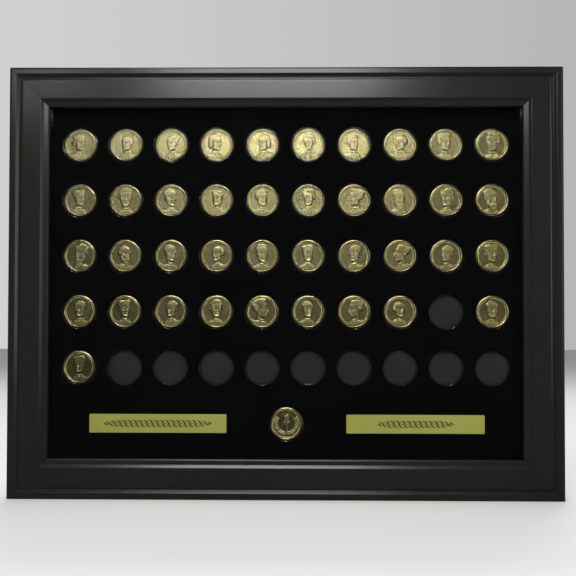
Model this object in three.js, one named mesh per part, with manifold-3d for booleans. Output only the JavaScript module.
// A wall or table display frame for small coins: a mitred moulding, glazing, a velvet insert with
// round pits, a card behind the pits, a back panel held by turn buttons, and two hanging rings.
// Millimetres. +X is right, +Y is the back, +Z is up. The origin is the bottom centre of the box.
import * as THREE from 'three';
import { mergeVertices } from 'three/addons/utils/BufferGeometryUtils.js';
import Module from 'manifold-3d';

const wasm = await Module();
wasm.setup();

// Insert and opening: a 16 by 12 inch picture size.
const insertWidth = 406.4;
const insertHeight = 304.8;
const rabbetOverlap = 6;
const mouldingWidth = 33.5;
const mouldingDepth = 22;
const frameWidth = insertWidth - 2 * rabbetOverlap + 2 * mouldingWidth;
const frameHeight = insertHeight - 2 * rabbetOverlap + 2 * mouldingWidth;
const mitreGap = 0.05;

// Moulding section, from the outer edge inwards and from the front backwards.
const outerRound = 2.0;
const bandFront = 0.8;
const bandEnd = 5.2;
const grooveStart = 8.1;
const grooveDepth = 2.2;
const grooveEnd = 8.7;
const faceStart = 12.0;
const faceEnd = 25.7;
const edgeRound = 0.5;
const stepEnd = 28.3;
const lipFront = 1.6;
const lipDrop = 0.4;
const rabbetDepth = 8.5;
const sectionSteps = 4;

// Layers in the rabbet, as depths behind the front of the moulding.
const sidePlay = 0.8;
const glazingFront = 8.6;
const glazingBack = 10.6;
const plateFront = 11.3;
const plateBack = 11.9;
const insertFront = 12.0;
const insertBack = 17.0;
const cardBack = 18.6;
const panelBack = 21.7;
const layerGap = 0.1;

// Pits and coins.
const columns = 10;
const rows = 5;
const columnPitch = 38.5;
const rowPitch = 46.8;
const gridRise = 22.7;
const emblemDrop = 117.8;
const lowerShift = 1.2;
const pitRadius = 15;
const coinRadius = 13.25;
const coinThickness = 2.0;
const coinBackGap = 1.2;
const roundSides = 16;

// Name plates.
const plateWidth = 115;
const plateHeight = 15.6;
const plateOffset = 107.5;
const plateRound = 1;

// Turn buttons that hold the back panel.
const buttonOffset = 115;
const buttonInset = 20;
const buttonReach = 18;
const buttonRound = 5;
const buttonThickness = 1.2;
const buttonHole = 1.9;
const hardwareGap = 0.1;

// Strap hangers with a ring.
const hangerHeight = 272;
const hangerInset = 14;
const strapWidth = 9;
const strapLength = 14;
const strapThickness = 1.0;
const strapHoleDrop = 8;
const strapHole = 1.9;
const loopInner = 1.35;
const loopOuter = loopInner + strapThickness;
const ringWire = 1.0;
const ringBend = 7.5;
const ringLeg = 5;
const wireSides = 8;
const bendSteps = 20;

const ringAxisDepth = mouldingDepth + hardwareGap + loopOuter;
const overallDepth = ringAxisDepth + loopOuter;
const frontY = -overallDepth / 2;
const centreZ = frameHeight / 2;

function finish(color, roughness, metalness) {
  return new THREE.MeshStandardMaterial({ color, roughness, metalness });
}

const group = new THREE.Group();

function add(name, geometry, material, x = 0, y = 0, z = 0) {
  const mesh = new THREE.Mesh(geometry, material);
  mesh.name = name;
  mesh.position.set(x, y, z);
  group.add(mesh);
  return mesh;
}

// A closed three.js geometry as a solid, for joining and cutting.
function solid(geometry) {
  const bare = geometry.clone();
  bare.deleteAttribute('normal');
  bare.deleteAttribute('uv');
  const merged = mergeVertices(bare, 1e-4);
  return new wasm.Manifold(new wasm.Mesh({
    numProp: 3,
    vertProperties: new Float32Array(merged.attributes.position.array),
    triVerts: new Uint32Array(merged.index.array),
  }));
}

function surface(body) {
  const mesh = body.getMesh();
  const geometry = new THREE.BufferGeometry();
  geometry.setAttribute('position', new THREE.BufferAttribute(new Float32Array(mesh.vertProperties), 3));
  geometry.setIndex(new THREE.BufferAttribute(new Uint32Array(mesh.triVerts), 1));
  geometry.computeVertexNormals();
  return geometry;
}

// A flat outline in X and Z, filled from one depth to another.
function slab(outline, front, back) {
  const geometry = new THREE.ExtrudeGeometry(outline, {
    depth: back - front,
    bevelEnabled: false,
    curveSegments: roundSides / 2,
  });
  geometry.rotateX(Math.PI / 2);
  geometry.translate(0, frontY + back, 0);
  return geometry;
}

function rectangle(width, height) {
  const outline = new THREE.Shape();
  outline.moveTo(-width / 2, -height / 2);
  outline.lineTo(width / 2, -height / 2);
  outline.lineTo(width / 2, height / 2);
  outline.lineTo(-width / 2, height / 2);
  outline.closePath();
  return outline;
}

function circle(x, z, radius) {
  const path = new THREE.Path();
  path.absarc(x, z, radius, 0, 2 * Math.PI, true);
  return path;
}

// The moulding section, with X as depth and Y as the distance from the outer edge.
function mouldingSection() {
  const s = new THREE.Shape();
  s.moveTo(mouldingDepth, 0);
  s.lineTo(bandFront + outerRound, 0);
  s.quadraticCurveTo(bandFront, 0, bandFront, outerRound);
  s.lineTo(bandFront, bandEnd);
  s.quadraticCurveTo(bandFront, bandEnd + edgeRound, bandFront + edgeRound, bandEnd + edgeRound);
  s.lineTo(grooveDepth, grooveStart);
  s.lineTo(grooveDepth, grooveEnd);
  s.quadraticCurveTo(0, grooveEnd, 0, faceStart);
  s.lineTo(0, faceEnd);
  s.quadraticCurveTo(0, faceEnd + edgeRound, edgeRound, faceEnd + edgeRound);
  s.lineTo(lipFront, stepEnd);
  s.lineTo(lipFront + lipDrop, mouldingWidth - edgeRound);
  s.quadraticCurveTo(lipFront + lipDrop, mouldingWidth, lipFront + lipDrop + edgeRound, mouldingWidth);
  s.lineTo(rabbetDepth, mouldingWidth);
  s.lineTo(rabbetDepth, mouldingWidth - rabbetOverlap);
  s.lineTo(mouldingDepth, mouldingWidth - rabbetOverlap);
  s.closePath();
  return s;
}

// A rail lies along X below the frame's centre. Its ends are mitred: each end vertex moves
// inwards by its own distance from the outer edge.
function rail(length, across) {
  const geometry = new THREE.ExtrudeGeometry(mouldingSection(), {
    depth: 1,
    bevelEnabled: false,
    curveSegments: sectionSteps,
  });
  const place = geometry.attributes.position;
  for (let i = 0; i < place.count; i++) {
    const depth = place.getX(i);
    const inwards = place.getY(i);
    const half = length / 2 - inwards - mitreGap;
    const along = place.getZ(i) > 0.5 ? half : -half;
    place.setXYZ(i, along, frontY + depth, inwards - across / 2);
  }
  geometry.computeVertexNormals();
  return geometry;
}

const satinBlack = { color: 0x232625, roughness: 0.38, metalness: 0 };

function railMaterial() {
  return finish(satinBlack.color, satinBlack.roughness, satinBlack.metalness);
}

const rails = [
  ['rail_bottom', frameWidth, frameHeight, 0],
  ['rail_right', frameHeight, frameWidth, -Math.PI / 2],
  ['rail_top', frameWidth, frameHeight, Math.PI],
  ['rail_left', frameHeight, frameWidth, Math.PI / 2],
];
for (const [name, length, across, turn] of rails) {
  add(name, rail(length, across), railMaterial(), 0, 0, centreZ).rotation.y = turn;
}

// Where each pit is, and whether it holds a coin. Row 1 is the top one.
const pits = [];
for (let row = 1; row <= rows; row++) {
  for (let column = 1; column <= columns; column++) {
    const lastRow = row === rows && column > 1;
    const gap = row === rows - 1 && column === columns - 1;
    pits.push({
      name: `coin_r${row}_c${String(column).padStart(2, '0')}`,
      x: (column - (columns + 1) / 2) * columnPitch,
      z: centreZ + gridRise + ((rows + 1) / 2 - row) * rowPitch,
      filled: !lastRow && !gap,
    });
  }
}
pits.push({ name: 'coin_emblem', x: lowerShift, z: centreZ - emblemDrop, filled: true });

// The stack in the rabbet, front to back.
const glass = rectangle(insertWidth - 2 * sidePlay, insertHeight - 2 * sidePlay);
add('glazing', slab(glass, glazingFront, glazingBack), finish(0xdfe6e4, 0.05, 0), 0, 0, centreZ);

const board = rectangle(insertWidth - 2 * sidePlay, insertHeight - 2 * sidePlay);
for (const pit of pits) {
  board.holes.push(circle(pit.x, pit.z - centreZ, pitRadius));
}
add('velvet_insert', slab(board, insertFront, insertBack), finish(0x0b0b0c, 0.95, 0), 0, 0, centreZ);

const card = rectangle(insertWidth - 2 * sidePlay, insertHeight - 2 * sidePlay);
add('pit_card', slab(card, insertBack + layerGap, cardBack), finish(0x4a4c4b, 0.85, 0), 0, 0, centreZ);

const panel = rectangle(insertWidth - 2 * sidePlay, insertHeight - 2 * sidePlay);
add('back_panel', slab(panel, cardBack + layerGap, panelBack), finish(0x6a4a30, 0.8, 0), 0, 0, centreZ);

const coinFront = insertBack - coinBackGap - coinThickness;
for (const pit of pits.filter((p) => p.filled)) {
  const coin = new THREE.CylinderGeometry(coinRadius, coinRadius, coinThickness, roundSides);
  const depth = frontY + coinFront + coinThickness / 2;
  add(pit.name, coin, finish(0xc8b35a, 0.28, 1), pit.x, depth, pit.z);
}

function roundedPlate() {
  const x = plateWidth / 2 - plateRound;
  const z = plateHeight / 2 - plateRound;
  const outline = new THREE.Shape();
  outline.absarc(x, z, plateRound, 0, Math.PI / 2);
  outline.absarc(-x, z, plateRound, Math.PI / 2, Math.PI);
  outline.absarc(-x, -z, plateRound, Math.PI, 1.5 * Math.PI);
  outline.absarc(x, -z, plateRound, 1.5 * Math.PI, 2 * Math.PI);
  outline.closePath();
  return outline;
}

for (const [side, sign] of [['left', -1], ['right', 1]]) {
  const plate = slab(roundedPlate(), plateFront, plateBack);
  const x = lowerShift + sign * plateOffset;
  add(`name_plate_${side}`, plate, finish(0x9a9a52, 0.45, 1), x, 0, centreZ - emblemDrop);
}

// A turn button: a strip with round ends that pivots near one end. It points to +Z at zero turn.
function turnButton() {
  const outline = new THREE.Shape();
  outline.absarc(0, buttonReach - buttonRound, buttonRound, 0, Math.PI);
  outline.absarc(0, 0, buttonRound, Math.PI, 2 * Math.PI);
  outline.closePath();
  outline.holes.push(circle(0, 0, buttonHole));
  const front = mouldingDepth + hardwareGap;
  return slab(outline, front, front + buttonThickness);
}

const zinc = { color: 0xb4b7ba, roughness: 0.35, metalness: 1 };
const buttons = [
  ['turn_button_top_left', -1, 1],
  ['turn_button_top_right', 1, 1],
  ['turn_button_bottom_left', -1, -1],
  ['turn_button_bottom_right', 1, -1],
];
for (const [name, sideways, upwards] of buttons) {
  const z = centreZ + upwards * (frameHeight / 2 - buttonInset);
  const material = finish(zinc.color, zinc.roughness, zinc.metalness);
  const button = add(name, turnButton(), material, sideways * buttonOffset, 0, z);
  button.rotation.y = upwards > 0 ? Math.PI : 0;
}

// A hanger strap: a flat tongue below a loop that the ring's straight side turns in.
function hangerStrap() {
  const tongue = new THREE.Shape();
  tongue.moveTo(-strapWidth / 2, 0);
  tongue.lineTo(-strapWidth / 2, strapWidth / 2 - strapLength);
  tongue.absarc(0, strapWidth / 2 - strapLength, strapWidth / 2, Math.PI, 2 * Math.PI);
  tongue.lineTo(strapWidth / 2, 0);
  tongue.closePath();
  tongue.holes.push(circle(0, -strapHoleDrop, strapHole));
  const front = mouldingDepth + hardwareGap;
  const flat = slab(tongue, front, front + strapThickness);
  const eye = new THREE.Shape();
  eye.absarc(0, 0, loopOuter, 0, 2 * Math.PI);
  eye.holes.push(circle(0, 0, loopInner));
  const loop = new THREE.ExtrudeGeometry(eye, {
    depth: strapWidth,
    bevelEnabled: false,
    curveSegments: roundSides / 2,
  });
  loop.rotateY(Math.PI / 2);
  loop.translate(-strapWidth / 2, frontY + ringAxisDepth, 0);
  return surface(solid(flat).add(solid(loop)));
}

// The ring is a D of round wire that hangs from its straight side.
function hangerRing() {
  const wire = (length) => new THREE.CylinderGeometry(ringWire, ringWire, length, wireSides);
  const whole = new THREE.TorusGeometry(ringBend, ringWire, wireSides, bendSteps);
  const bend = whole.rotateX(Math.PI / 2).translate(0, 0, -ringLeg);
  const upper = new THREE.BoxGeometry(4 * ringBend, 4 * ringWire, 4 * ringBend);
  upper.translate(0, 0, 2 * ringBend - ringLeg);
  let ring = solid(bend).subtract(solid(upper));
  const bar = wire(2 * ringBend).rotateZ(Math.PI / 2);
  ring = ring.add(solid(bar));
  for (const side of [-1, 1]) {
    const leg = wire(ringLeg).rotateX(Math.PI / 2).translate(side * ringBend, 0, -ringLeg / 2);
    const corner = new THREE.SphereGeometry(ringWire, wireSides, wireSides).translate(side * ringBend, 0, 0);
    ring = ring.add(solid(leg)).add(solid(corner));
  }
  return surface(ring);
}

for (const [side, sign] of [['left', -1], ['right', 1]]) {
  const x = sign * (frameWidth / 2 - hangerInset);
  const steel = finish(zinc.color, zinc.roughness, zinc.metalness);
  const wireSteel = finish(zinc.color, zinc.roughness, zinc.metalness);
  add(`hanger_strap_${side}`, hangerStrap(), steel, x, 0, hangerHeight);
  add(`hanger_ring_${side}`, hangerRing(), wireSteel, x, frontY + ringAxisDepth, hangerHeight);
}

export default group;
